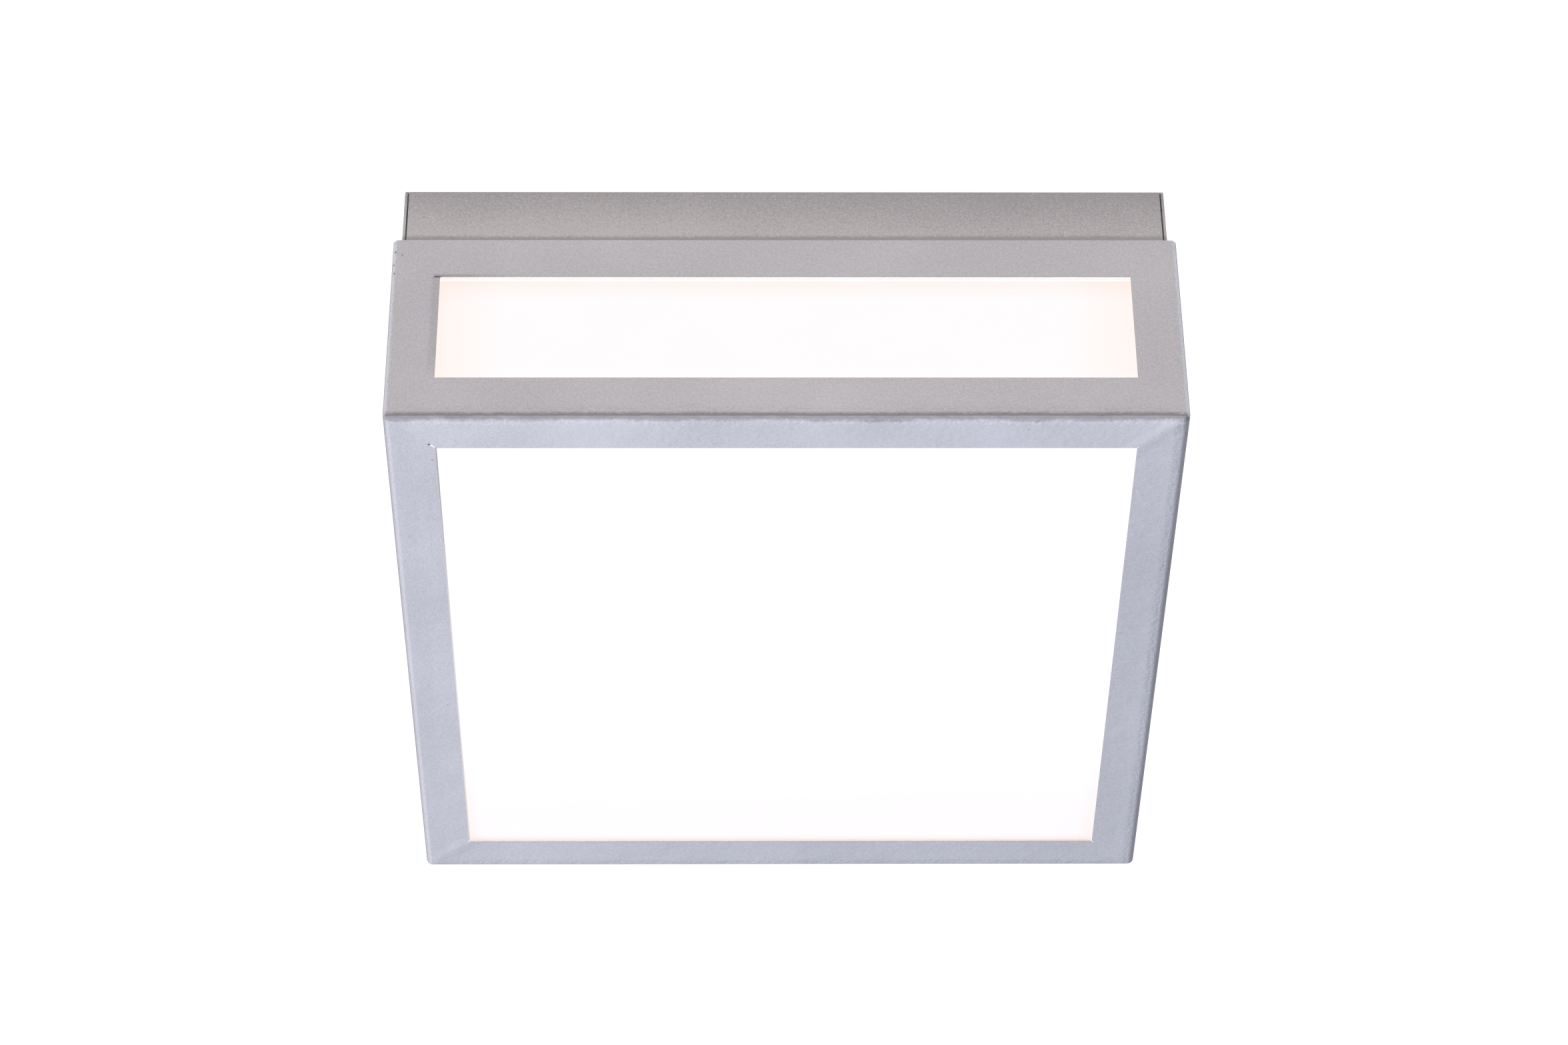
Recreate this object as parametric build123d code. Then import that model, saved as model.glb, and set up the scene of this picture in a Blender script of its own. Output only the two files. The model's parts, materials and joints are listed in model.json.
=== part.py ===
from build123d import *
import os

# Square outdoor wall lantern. A folded steel tray is screwed to the wall and carries two E27 lamps in
# front of a white reflector. A steel frame with five windows, welded from four folded sides, slips over
# the tray with an opal tub bonded inside it. Two button-head screws in the tray's left and right flanges
# clamp the frame.
#
# Every piece is modelled in the wall frame: X to the right, Y up, Z straight out of the wall, origin on
# the wall at the lantern's centre, millimetres. write_nodes() turns it into the part's own frame: X to
# the right, +Y into the wall, +Z up.

# ---- Driving dimensions ----
COVER_WIDTH = 240.0        # square frame, outside
COVER_DEPTH = 70.0         # from the frame's back edge to its front face
BASE_WIDTH = 235.0         # square wall tray, outside
BASE_REVEAL = 23.0         # length of tray that shows between the wall and the frame
SHEET = 0.8                # steel sheet of tray, frame and reflector
BORDER = 15.0              # metal left around every window
EDGE_RADIUS = 2.0          # outside radius of the frame's folded and dressed edges

TRAY_OVERLAP = 10.0        # how far the tray's flanges reach into the frame
TRAY_FOLD_RADIUS = 1.4     # outside radius of the tray's back folds
TRAY_LIP = 7.5             # inward lip that carries the seal
SEAM_GAP = 0.5             # open corner seam between two flanges
SEAL_THICKNESS = 2.0       # foam seal, compressed

DIFFUSER_WALL = 3.0
DIFFUSER_GAP = 1.0         # room for silicone between tub and frame
DIFFUSER_RADIUS = 3.0
SILICONE_HEIGHT = 2.4

REFLECTOR_WIDTH = 212.0
REFLECTOR_FRONT = 16.8     # distance from the wall
REFLECTOR_FOLD = 10.0      # folded edges along top and bottom
STANDOFF_OFFSET = 92.0     # reflector fixings, from the centre in X and in Y

LAMP_OFFSET = 52.0         # lamp axes above and below the centre
LAMP_HEIGHT = 50.0         # lamp axes in front of the wall
HOLDER_REAR = -62.0        # X of the upper lampholder's rear face

FIXING_OFFSET = 70.0       # wall slots, from the centre in X and in Y
FIXING_SLOT_LENGTH = 12.0
FIXING_SLOT_WIDTH = 5.2

COVER_SCREW_DEPTH = 28.5   # distance of the frame's two screws from the wall
CABLE_RADIUS = 4.5         # grommet bore for the supply cable
WIRE_RADIUS = 1.1

# ---- Derived dimensions ----
TOTAL_DEPTH = BASE_REVEAL + COVER_DEPTH
TRAY_DEPTH = BASE_REVEAL + TRAY_OVERLAP
SEAL_FRONT = TRAY_DEPTH + SEAL_THICKNESS
COVER_INSIDE = COVER_WIDTH - 2 * SHEET
TRAY_INSIDE = BASE_WIDTH - 2 * SHEET
LIP_OPENING = BASE_WIDTH - 2 * TRAY_LIP
DIFFUSER_WIDTH = COVER_INSIDE - 2 * DIFFUSER_GAP
DIFFUSER_DEPTH = TOTAL_DEPTH - SHEET - SEAL_FRONT
WINDOW_WIDTH = COVER_WIDTH - 2 * BORDER
SIDE_WINDOW_DEPTH = COVER_DEPTH - 2 * BORDER
REFLECTOR_BACK = REFLECTOR_FRONT - SHEET
CUT = 5.0                  # how far a cutting solid runs past what it cuts

ON_BASE = (Align.CENTER, Align.CENTER, Align.MIN)


# ---- Small helpers ----
def slab(width, height, low, high, x=0.0, y=0.0):
    """A block between two distances from the wall."""
    return Pos(x, y, low) * Box(width, height, high - low, align=ON_BASE)


def rounded_slab(width, radius, low, high):
    """A square block with rounded upright edges, between two distances from the wall."""
    return Pos(0, 0, low) * extrude(RectangleRounded(width, width, radius), high - low)


def post(radius, low, high, x=0.0, y=0.0):
    """A cylinder that stands out of the wall, between two distances from it."""
    return Pos(x, y, low) * Cylinder(radius, high - low, align=ON_BASE)


def hex_post(across_flats, low, high, x=0.0, y=0.0):
    """A hexagonal bar that stands out of the wall."""
    outline = RegularPolygon(across_flats / 2, 6, major_radius=False)
    return Pos(x, y, low) * extrude(outline, high - low)


def turned(*profile):
    """A turned piece about Z, from its (radius, height) outline."""
    outline = Plane.XZ * make_face(Polyline(*profile, close=True))
    return revolve(outline, Axis.Z)


def laid_along_x(piece, x, y, z):
    """Lays a piece made about Z along +X, with its foot at the given point."""
    return Pos(x, y, z) * Rot(0, 90, 0) * piece


def half_turn(piece):
    """The same piece turned half round about the lantern's centre: upper left goes to lower right."""
    return Rot(0, 0, 180) * piece


def at_corners(offset):
    """The four (x, y) places at that offset from the centre."""
    return [(x, y) for x in (-offset, offset) for y in (-offset, offset)]


def union(pieces):
    """Several separate solids as one node."""
    return Compound(children=[solid for piece in pieces for solid in piece.solids()])


# ---- Frame: four folded sides, mitred and welded ----
FRAME_SIDES = {"top": 0, "left": 90, "bottom": 180, "right": 270}
# The welds stop short of the front window's corners. Width and length of each gap, from the top right
# corner round by the top left.
MITRE_GAPS = ((0.35, 0.8), (0.7, 2.0), (0.4, 0.7), (0.35, 1.0))
SCREW_SLOT_RADIUS = 2.2


def frame_shell():
    """The whole box frame before it is divided: open at the back, with a window in each other face."""
    outside = rounded_slab(COVER_WIDTH, EDGE_RADIUS, BASE_REVEAL, TOTAL_DEPTH)
    outside = fillet(outside.faces().sort_by(Axis.Z)[-1].edges(), EDGE_RADIUS)
    inner_radius = EDGE_RADIUS - SHEET
    inside = rounded_slab(COVER_INSIDE, inner_radius, BASE_REVEAL, TOTAL_DEPTH - SHEET)
    inside = fillet(inside.faces().sort_by(Axis.Z)[-1].edges(), inner_radius)
    shell = outside - inside

    shell -= slab(WINDOW_WIDTH, WINDOW_WIDTH, TOTAL_DEPTH - CUT, TOTAL_DEPTH + CUT)
    low = BASE_REVEAL + BORDER
    high = low + SIDE_WINDOW_DEPTH
    shell -= slab(COVER_WIDTH + CUT, WINDOW_WIDTH, low, high)
    shell -= slab(WINDOW_WIDTH, COVER_WIDTH + CUT, low, high)
    return shell


def mitre_gaps():
    """Short open ends of the front mitres, at the front window's corners."""
    corner = WINDOW_WIDTH / 2 * 2**0.5
    gaps = []
    for n, (width, length) in enumerate(MITRE_GAPS):
        gap = slab(2 * length, width, TOTAL_DEPTH - CUT, TOTAL_DEPTH + CUT, corner)
        gaps.append(Rot(0, 0, 45 + 90 * n) * gap)
    return gaps


def screw_slot():
    """Slot in the right side, open at the frame's back edge, that straddles the tray's screw."""
    wall = COVER_WIDTH / 2
    hole = laid_along_x(Cylinder(SCREW_SLOT_RADIUS, 2 * CUT), wall, 0, COVER_SCREW_DEPTH)
    return hole + slab(2 * CUT, 2 * SCREW_SLOT_RADIUS, BASE_REVEAL - CUT, COVER_SCREW_DEPTH, wall)


def side_wedge(angle):
    """The quarter of the frame that one side owns, between the two mitre planes."""
    reach = COVER_WIDTH
    outline = make_face(Polyline((0, 0), (reach, reach), (-reach, reach), close=True))
    return Rot(0, 0, angle) * extrude(outline, TOTAL_DEPTH + CUT)


def frame_sides():
    """The frame's four sides, each with its quarter of the front border."""
    shell = frame_shell()
    for gap in mitre_gaps():
        shell -= gap
    shell -= screw_slot()
    shell -= half_turn(screw_slot())
    return {f"frame_side_{name}": shell & side_wedge(a) for name, a in FRAME_SIDES.items()}


# ---- Opal tub and its bond ----
def diffuser():
    """Moulded opal tub, open towards the wall, that closes all five windows."""
    front = TOTAL_DEPTH - SHEET
    outside = rounded_slab(DIFFUSER_WIDTH, DIFFUSER_RADIUS, SEAL_FRONT, front)
    outside = fillet(outside.faces().sort_by(Axis.Z)[-1].edges(), DIFFUSER_RADIUS)
    inner_width = DIFFUSER_WIDTH - 2 * DIFFUSER_WALL
    return outside - rounded_slab(inner_width, 1.0, SEAL_FRONT, front - DIFFUSER_WALL)


def silicone_bead():
    """Silicone between the tub's rim and the frame, all round."""
    low = SEAL_FRONT + 0.2
    high = low + SILICONE_HEIGHT
    ring = rounded_slab(COVER_INSIDE, EDGE_RADIUS - SHEET, low, high)
    return ring - rounded_slab(DIFFUSER_WIDTH, DIFFUSER_RADIUS, low, high)


# ---- Wall tray ----
PAD_RADIUS = 22.0          # pressed pad around the cable entry
PAD_HEIGHT = 2.0
CABLE_HOLE_RADIUS = 10.0
RIVET_HOLE_RADIUS = 3.0


def flange_seams():
    """Open seams at both ends of the top and bottom flanges, beside the left and right flanges."""
    x = (TRAY_INSIDE - SEAM_GAP) / 2
    y = BASE_WIDTH / 2
    return [
        slab(SEAM_GAP, 2 * SHEET, TRAY_FOLD_RADIUS, TRAY_DEPTH + CUT, i * x, j * y)
        for i in (-1, 1)
        for j in (-1, 1)
    ]


def lip_mitres():
    """Open mitres of the lip at the tray's four corners."""
    middle = (LIP_OPENING + TRAY_INSIDE) / 4
    length = (TRAY_INSIDE - LIP_OPENING) / 2 * 2**0.5 + 1.0
    gap = slab(length, SEAM_GAP, TRAY_DEPTH - 2 * SHEET, TRAY_DEPTH + CUT, middle * 2**0.5)
    return [Rot(0, 0, 45 + 90 * n) * gap for n in range(4)]


def fixing_slots():
    """The four wall slots."""
    slot = SlotOverall(FIXING_SLOT_LENGTH, FIXING_SLOT_WIDTH)
    return [Pos(x, y, -CUT) * extrude(slot, 2 * CUT) for x, y in at_corners(FIXING_OFFSET)]


def wall_tray():
    """One folded sheet: back plate, four flanges and the lip that the seal lies on."""
    tray = slab(BASE_WIDTH, BASE_WIDTH, 0, TRAY_DEPTH)
    tray = fillet(tray.faces().sort_by(Axis.Z)[0].edges(), TRAY_FOLD_RADIUS)
    tray -= slab(TRAY_INSIDE, TRAY_INSIDE, SHEET, TRAY_DEPTH - SHEET)
    tray -= slab(LIP_OPENING, LIP_OPENING, SHEET, TRAY_DEPTH + CUT)

    tray += post(PAD_RADIUS, SHEET, SHEET + PAD_HEIGHT)
    tray -= post(PAD_RADIUS - SHEET, -CUT, PAD_HEIGHT)
    tray -= post(CABLE_HOLE_RADIUS, -CUT, 2 * CUT)
    rivet_hole = Cylinder(RIVET_HOLE_RADIUS, 2 * CUT)
    for side in (-1, 1):
        tray -= laid_along_x(rivet_hole, side * BASE_WIDTH / 2, 0, COVER_SCREW_DEPTH)
    for cut in flange_seams() + lip_mitres() + fixing_slots():
        tray -= cut
    return tray


def seal():
    """Foam ring on the tray's lip, pressed by the tub's rim."""
    ring = rounded_slab(BASE_WIDTH, 2.0, TRAY_DEPTH, SEAL_FRONT)
    return ring - rounded_slab(LIP_OPENING + 1.0, 4.0, TRAY_DEPTH, SEAL_FRONT)


def cable_grommet():
    """Rubber grommet snapped into the raised pad, with the bore for the supply cable."""
    flange = CABLE_HOLE_RADIUS + 3.0
    groove = CABLE_HOLE_RADIUS - 0.1
    low, high = PAD_HEIGHT, PAD_HEIGHT + SHEET
    return turned(
        (CABLE_RADIUS, low - 1.6),
        (flange - 1.0, low - 1.6),
        (flange, low - 0.8),
        (flange, low),
        (groove, low),
        (groove, high),
        (flange, high),
        (flange - 0.6, high + 1.4),
        (CABLE_RADIUS + 2.5, high + 1.8),
        (CABLE_RADIUS + 1.5, high + 6.0),
        (CABLE_RADIUS, high + 6.0),
    )


# ---- The frame's screws and their rivet nuts ----
RIVET_HEAD_RADIUS = 4.5
RIVET_HEAD = 1.5
RIVET_LENGTH = 10.0
RIVET_BODY_RADIUS = 2.95
SCREW_RADIUS = 2.0         # M4
SCREW_LENGTH = 10.0
SCREW_HEAD_RADIUS = 3.8
SCREW_HEAD_HEIGHT = 2.2
SCREW_SOCKET = 2.5         # across flats
THREAD_CLEARANCE = 0.05
HEAD_CLEARANCE = 0.05


def rivet_nut():
    """Rivet nut in the right flange."""
    outer = BASE_WIDTH / 2
    nut = turned(
        (SCREW_RADIUS + THREAD_CLEARANCE, -RIVET_LENGTH),
        (RIVET_BODY_RADIUS, -RIVET_LENGTH),
        (RIVET_BODY_RADIUS, 0),
        (RIVET_HEAD_RADIUS, 0),
        (RIVET_HEAD_RADIUS, RIVET_HEAD - 0.3),
        (RIVET_HEAD_RADIUS - 0.3, RIVET_HEAD),
        (SCREW_RADIUS + THREAD_CLEARANCE, RIVET_HEAD),
    )
    return laid_along_x(nut, outer, 0, COVER_SCREW_DEPTH)


def cover_screw():
    """Button-head socket screw on the right side, its head just clear of the frame."""
    head = Cylinder(SCREW_HEAD_RADIUS, SCREW_HEAD_HEIGHT, align=ON_BASE)
    head = fillet(head.edges().sort_by(Axis.Z)[-1], SCREW_HEAD_HEIGHT - 0.4)
    shank = Pos(0, 0, -SCREW_LENGTH) * Cylinder(SCREW_RADIUS, SCREW_LENGTH, align=ON_BASE)
    shank = chamfer(shank.edges().sort_by(Axis.Z)[0], 0.5)
    socket = hex_post(SCREW_SOCKET, SCREW_HEAD_HEIGHT - 1.4, SCREW_HEAD_HEIGHT + CUT)
    screw = head + shank - socket
    return laid_along_x(screw, COVER_WIDTH / 2 + HEAD_CLEARANCE, 0, COVER_SCREW_DEPTH)


# ---- Reflector and what holds it ----
STANDOFF_FLATS = 6.0
M3_RADIUS = 1.5
WIRE_HOLE_X = -84.0        # where the upper lamp's wires come through the reflector
WIRE_GROMMET_RADIUS = 7.0
BRACKET_SCREW_X = (-56.0, -44.0)
BRACKET_SCREW_Y = 8.0      # either side of the lamp's axis
M4_HOLE_RADIUS = 2.2


def through_reflector(radius, x, y):
    """A cutter through the reflector."""
    return post(radius, 0, 2 * REFLECTOR_FRONT, x, y)


def bracket_fixings():
    """The (x, y) places of the upper bracket's four screws."""
    return [
        (x, LAMP_OFFSET + y) for x in BRACKET_SCREW_X for y in (-BRACKET_SCREW_Y, BRACKET_SCREW_Y)
    ]


def reflector():
    """White plate in front of the wiring, with two long edges folded back."""
    plate = slab(
        REFLECTOR_WIDTH, REFLECTOR_WIDTH, REFLECTOR_FRONT - REFLECTOR_FOLD, REFLECTOR_FRONT
    )
    long_edges = plate.faces().sort_by(Axis.Z)[-1].edges().filter_by(Axis.X)
    plate = fillet(long_edges, TRAY_FOLD_RADIUS)
    inner = REFLECTOR_WIDTH - 2 * SHEET
    plate -= slab(REFLECTOR_WIDTH + CUT, inner, -CUT, REFLECTOR_BACK)
    for x, y in at_corners(STANDOFF_OFFSET):
        plate -= through_reflector(M3_RADIUS + 0.2, x, y)
    for side in (1, -1):
        plate -= through_reflector(WIRE_GROMMET_RADIUS, side * WIRE_HOLE_X, side * LAMP_OFFSET)
        for x, y in bracket_fixings():
            plate -= through_reflector(M4_HOLE_RADIUS, side * x, side * y)
    return plate


def standoffs():
    """Hexagonal pillars pressed into the back plate, tapped M3 in front."""
    low, high = SHEET, REFLECTOR_BACK
    tapped = M3_RADIUS + THREAD_CLEARANCE
    return union(
        hex_post(STANDOFF_FLATS, low, high, x, y) - post(tapped, high - 8.0, high + CUT, x, y)
        for x, y in at_corners(STANDOFF_OFFSET)
    )


def pan_screw(radius, length, head_radius, head_height):
    """Pan-head screw with a cross recess, its head's underside at height 0."""
    head = Cylinder(head_radius, head_height, align=ON_BASE)
    head = fillet(head.edges().sort_by(Axis.Z)[-1], head_height * 0.45)
    shank = Pos(0, 0, -length) * Cylinder(radius, length, align=ON_BASE)
    recess_width, recess_depth = head_radius * 0.28, head_height * 0.55
    for angle in (0, 90):
        bar = Box(head_radius * 1.1, recess_width, recess_depth + CUT, align=ON_BASE)
        head -= Pos(0, 0, head_height - recess_depth) * Rot(0, 0, angle) * bar
    return head + shank


def reflector_screws():
    """Four M3 screws that hold the reflector on its pillars."""
    screw = pan_screw(M3_RADIUS, 6.5, 2.8, 1.9)
    return union(Pos(x, y, REFLECTOR_FRONT) * screw for x, y in at_corners(STANDOFF_OFFSET))


def wire_grommets():
    """Two rubber grommets where the lamp wires come through the reflector."""
    low, high = REFLECTOR_BACK, REFLECTOR_FRONT
    ring = turned(
        (5.2, low - 1.4),
        (8.4, low - 1.4),
        (8.8, low),
        (WIRE_GROMMET_RADIUS - 0.05, low),
        (WIRE_GROMMET_RADIUS - 0.05, high),
        (8.8, high),
        (8.4, high + 1.4),
        (5.2, high + 1.4),
    )
    upper = Pos(WIRE_HOLE_X, LAMP_OFFSET, 0) * ring
    return union([upper, half_turn(upper)])


# ---- Lampholders: made about Z from their rear face, then laid along X ----
HOLDER_LENGTH = 46.0
HOLDER_FLOOR = 14.0        # thickness of the holder's rear block
HOLDER_BORE = 14.5
SHELL_INNER = 13.45
SHELL_OUTER = 13.95
CONTACT_TOP = 17.0
HOLDER_SCREW_SPACING = 22.0
WIRE_ENTRY = (2.5, 5.0)    # a wire's offset from the lamp's axis, in Y and in Z
BRACKET_THICKNESS = 1.5
BRACKET_WIDTH = 34.0
BRACKET_FOOT = 26.0
NUT_FLATS = 7.0            # M4
NUT_THICKNESS = 3.0


def lay_upper(piece):
    """Lays a lamp or holder piece on the upper lamp's axis, from the holder's rear face towards +X."""
    return laid_along_x(piece, HOLDER_REAR, LAMP_OFFSET, LAMP_HEIGHT)


def wire_ends(height):
    """The two wire entries in the holder's rear face, as (across, along the wall's normal) offsets."""
    across, out = WIRE_ENTRY
    radius = WIRE_RADIUS + 0.15
    return [post(radius, -CUT, height, -side * out, side * across) for side in (1, -1)]


def holder_body():
    """Moulded lampholder: rear block with terminals, and a skirt around the screw shell."""
    body = turned(
        (0, 0),
        (16.0, 0),
        (17.0, 1.0),
        (17.0, 12.0),
        (19.0, 15.0),
        (19.0, 41.0),
        (20.5, 42.0),
        (20.5, HOLDER_LENGTH),
        (HOLDER_BORE + 1.0, HOLDER_LENGTH),
        (HOLDER_BORE, HOLDER_LENGTH - 1.0),
        (HOLDER_BORE, HOLDER_FLOOR),
        (0, HOLDER_FLOOR),
    )
    for hole in wire_ends(5.0):
        body -= hole
    for y in (-1, 1):
        body -= post(M3_RADIUS + THREAD_CLEARANCE, -CUT, 9.0, 0, y * HOLDER_SCREW_SPACING / 2)
    return body


def holder_shell():
    """Metal screw shell inside the holder's skirt, with its closed rim resting on the floor."""
    top = HOLDER_LENGTH - 4.0
    return turned(
        (SHELL_INNER - 4.0, HOLDER_FLOOR),
        (SHELL_OUTER, HOLDER_FLOOR),
        (SHELL_OUTER, top),
        (SHELL_INNER, top),
        (SHELL_INNER, HOLDER_FLOOR + 0.5),
        (SHELL_INNER - 4.0, HOLDER_FLOOR + 0.5),
    )


def holder_contact():
    """Sprung brass tongue that meets the lamp's centre contact."""
    width = 5.0
    side = Polyline(
        (-6.0, HOLDER_FLOOR),
        (-6.0, HOLDER_FLOOR + 0.5),
        (-3.0, HOLDER_FLOOR + 0.5),
        (-0.5, CONTACT_TOP),
        (3.0, CONTACT_TOP),
        (3.0, CONTACT_TOP - 0.5),
        (-0.2, CONTACT_TOP - 0.5),
        (-2.7, HOLDER_FLOOR),
        close=True,
    )
    return extrude(Plane.XZ * make_face(side), width / 2, both=True)


def bracket():
    """Steel angle under the upper lampholder: a plate behind it and a foot on the reflector."""
    rear = HOLDER_REAR - BRACKET_THICKNESS
    foot_top = REFLECTOR_FRONT + BRACKET_THICKNESS
    plate_x, foot_x = rear + BRACKET_THICKNESS / 2, rear + BRACKET_FOOT / 2
    angle = slab(
        BRACKET_THICKNESS, BRACKET_WIDTH, REFLECTOR_FRONT, LAMP_HEIGHT, plate_x, LAMP_OFFSET
    )
    rounded_top = Cylinder(BRACKET_WIDTH / 2, BRACKET_THICKNESS, align=ON_BASE)
    angle += lay_upper(Pos(0, 0, -BRACKET_THICKNESS) * rounded_top)
    angle += slab(BRACKET_FOOT, BRACKET_WIDTH, REFLECTOR_FRONT, foot_top, foot_x, LAMP_OFFSET)

    angle -= lay_upper(Cylinder(7.5, 2 * CUT))
    for y in (-1, 1):
        hole = Pos(0, y * HOLDER_SCREW_SPACING / 2, 0) * Cylinder(M3_RADIUS + 0.2, 2 * CUT)
        angle -= lay_upper(hole)
    for x, y in bracket_fixings():
        angle -= post(M4_HOLE_RADIUS, 0, foot_top + CUT, x, y)
    return angle


def bracket_screws():
    """Eight M4 screws that hold the two bracket feet on the reflector."""
    screw = pan_screw(SCREW_RADIUS, 7.5, 3.5, 2.4)
    foot_top = REFLECTOR_FRONT + BRACKET_THICKNESS
    upper = [Pos(x, y, foot_top) * screw for x, y in bracket_fixings()]
    return union(upper + [half_turn(piece) for piece in upper])


def bracket_nuts():
    """Eight M4 nuts behind the reflector."""
    low = REFLECTOR_BACK - NUT_THICKNESS
    upper = [
        hex_post(NUT_FLATS, low, REFLECTOR_BACK, x, y)
        - post(SCREW_RADIUS + THREAD_CLEARANCE, 0, REFLECTOR_FRONT, x, y)
        for x, y in bracket_fixings()
    ]
    return union(upper + [half_turn(nut) for nut in upper])


def holder_screws():
    """Four M3 screws that hold the lampholders on their brackets."""
    screw = Rot(0, 180, 0) * pan_screw(M3_RADIUS, 8.0, 2.8, 1.9)
    upper = [
        lay_upper(Pos(0, y * HOLDER_SCREW_SPACING / 2, -BRACKET_THICKNESS) * screw) for y in (-1, 1)
    ]
    return union(upper + [half_turn(piece) for piece in upper])


# ---- Lamps: LED lamps with an E27 cap, made about Z from their centre contact ----
LAMP_TIP = CONTACT_TOP + 0.05   # the tip's distance from the holder's rear face
LAMP_LENGTH = 108.0
GLOBE_RADIUS = 30.0
GLOBE_WALL = 1.2
GLOBE_BASE = 62.0
THREAD_PITCH = 3.6
THREAD_CREST = 13.2
THREAD_ROOT = 12.4
CAP_START = 3.8
CAP_THREAD_START = 6.0
CAP_RINGS = 5
CAP_TOP = 26.0
NECK_RADIUS = 13.6
BOARD_RADIUS = 22.9
BOARD_THICKNESS = 1.6


def lay_lamp(piece):
    """Lays a lamp piece in the upper lampholder."""
    return lay_upper(Pos(0, 0, LAMP_TIP) * piece)


def lamp_contact():
    """Centre contact."""
    button = Cylinder(4.6, 1.5, align=ON_BASE)
    return fillet(button.edges().sort_by(Axis.Z)[0], 0.7)


def lamp_insulator():
    """Black glass between the centre contact and the cap."""
    top = CAP_START + 1.5
    return turned(
        (0, 1.5), (5.0, 1.5), (10.8, CAP_START), (11.6, CAP_START), (11.6, top), (0, top)
    )


def lamp_cap():
    """Metal cap; its rolled thread is drawn as rings of the right pitch and depth."""
    rings = []
    for n in range(CAP_RINGS):
        start = CAP_THREAD_START + n * THREAD_PITCH
        rings += [
            (THREAD_ROOT, start),
            (THREAD_CREST, start + THREAD_PITCH * 0.35),
            (THREAD_CREST, start + THREAD_PITCH * 0.65),
        ]
    end = CAP_THREAD_START + CAP_RINGS * THREAD_PITCH
    return turned(
        (11.6, CAP_START),
        (12.1, CAP_START),
        *rings,
        (THREAD_ROOT, end),
        (THREAD_CREST, end + 0.6),
        (THREAD_CREST, CAP_TOP),
        (12.0, CAP_TOP),
        (12.0, CAP_START + 1.5),
        (11.6, CAP_START + 1.5),
    )


def pear_curve(offset):
    """Outline of the lamp's plastic body from neck to globe, moved inwards by an offset."""
    rim = (GLOBE_RADIUS**2 - (LAMP_LENGTH - GLOBE_RADIUS - GLOBE_BASE) ** 2) ** 0.5
    return ThreePointArc(
        (NECK_RADIUS - offset, CAP_TOP + 2.0), (18.2 - offset, 44.0), (rim - offset, GLOBE_BASE)
    )


def lamp_body():
    """Plastic-clad heat sink between cap and globe, hollow for the driver, with a top plate."""
    wall = 1.6
    outer, inner = pear_curve(0.0), pear_curve(wall)
    spigot = 11.95
    lines = [
        outer,
        Line(outer @ 1, inner @ 1),
        inner,
        Line(inner @ 0, (spigot - wall, CAP_TOP + 2.0)),
        Line((spigot - wall, CAP_TOP + 2.0), (spigot - wall, CAP_TOP - 12.0)),
        Line((spigot - wall, CAP_TOP - 12.0), (spigot, CAP_TOP - 12.0)),
        Line((spigot, CAP_TOP - 12.0), (spigot, CAP_TOP)),
        Line((spigot, CAP_TOP), (NECK_RADIUS, CAP_TOP)),
        Line((NECK_RADIUS, CAP_TOP), outer @ 0),
    ]
    shell = revolve(Plane.XZ * make_face(Curve() + lines), Axis.Z)
    plate_top = GLOBE_BASE - BOARD_THICKNESS
    return shell + post(BOARD_RADIUS + 0.1, plate_top - BOARD_THICKNESS, plate_top)


def lamp_led_board():
    """Aluminium board on the body's top plate, with a ring of LED chips."""
    board = post(BOARD_RADIUS, GLOBE_BASE - BOARD_THICKNESS, GLOBE_BASE)
    chip = slab(2.8, 3.5, GLOBE_BASE - 0.1, GLOBE_BASE + 0.7)
    for n in range(10):
        board += Rot(0, 0, 36 * n) * Pos(15.0, 0, 0) * chip
    return board


def lamp_globe():
    """Opal dome, a thin hollow shell open towards the board."""
    centre = LAMP_LENGTH - GLOBE_RADIUS
    dome = Pos(0, 0, centre) * (Sphere(GLOBE_RADIUS) - Sphere(GLOBE_RADIUS - GLOBE_WALL))
    return dome & slab(CUT + 2 * GLOBE_RADIUS, CUT + 2 * GLOBE_RADIUS, GLOBE_BASE, LAMP_LENGTH + CUT)


LAMP_PIECES = {
    "contact": lamp_contact,
    "insulator": lamp_insulator,
    "cap": lamp_cap,
    "body": lamp_body,
    "led_board": lamp_led_board,
    "globe": lamp_globe,
}


# ---- Terminals and wiring behind the reflector ----
TERMINAL_Y = -34.0
TERMINAL_SIZE = (34.0, 18.0, 12.5)
POLE_SPACING = 10.0
POLES = (-POLE_SPACING, 0.0, POLE_SPACING)    # live, earth, neutral
UPPER_WIRES = 8.2          # distance of the upper lamp's wires from the wall
LOWER_WIRES = 5.6          # distance of the lower lamp's wires from the wall
CLAMP_LOW, CLAMP_HIGH = 2.8, 11.2
CLAMP_OFFSET = 4.2         # a pole's two clamping screws, from the block's middle
EARTH_X, EARTH_Y = 38.0, -14.0
STUD_TOP = 12.0
LUG_SHEET = 0.8
LUG_LOW = SHEET + NUT_THICKNESS
LUG_BARREL = 6.0


def wire_passage(x):
    """The way through one pole for two wires, one above the other."""
    reach = TERMINAL_SIZE[1] + CUT
    radius = WIRE_RADIUS + 0.4
    way = slab(2 * radius, reach, LOWER_WIRES, UPPER_WIRES, x, TERMINAL_Y)
    for z in (LOWER_WIRES, UPPER_WIRES):
        way += Pos(x, TERMINAL_Y, z) * Rot(90, 0, 0) * Cylinder(radius, reach)
    return way


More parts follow.
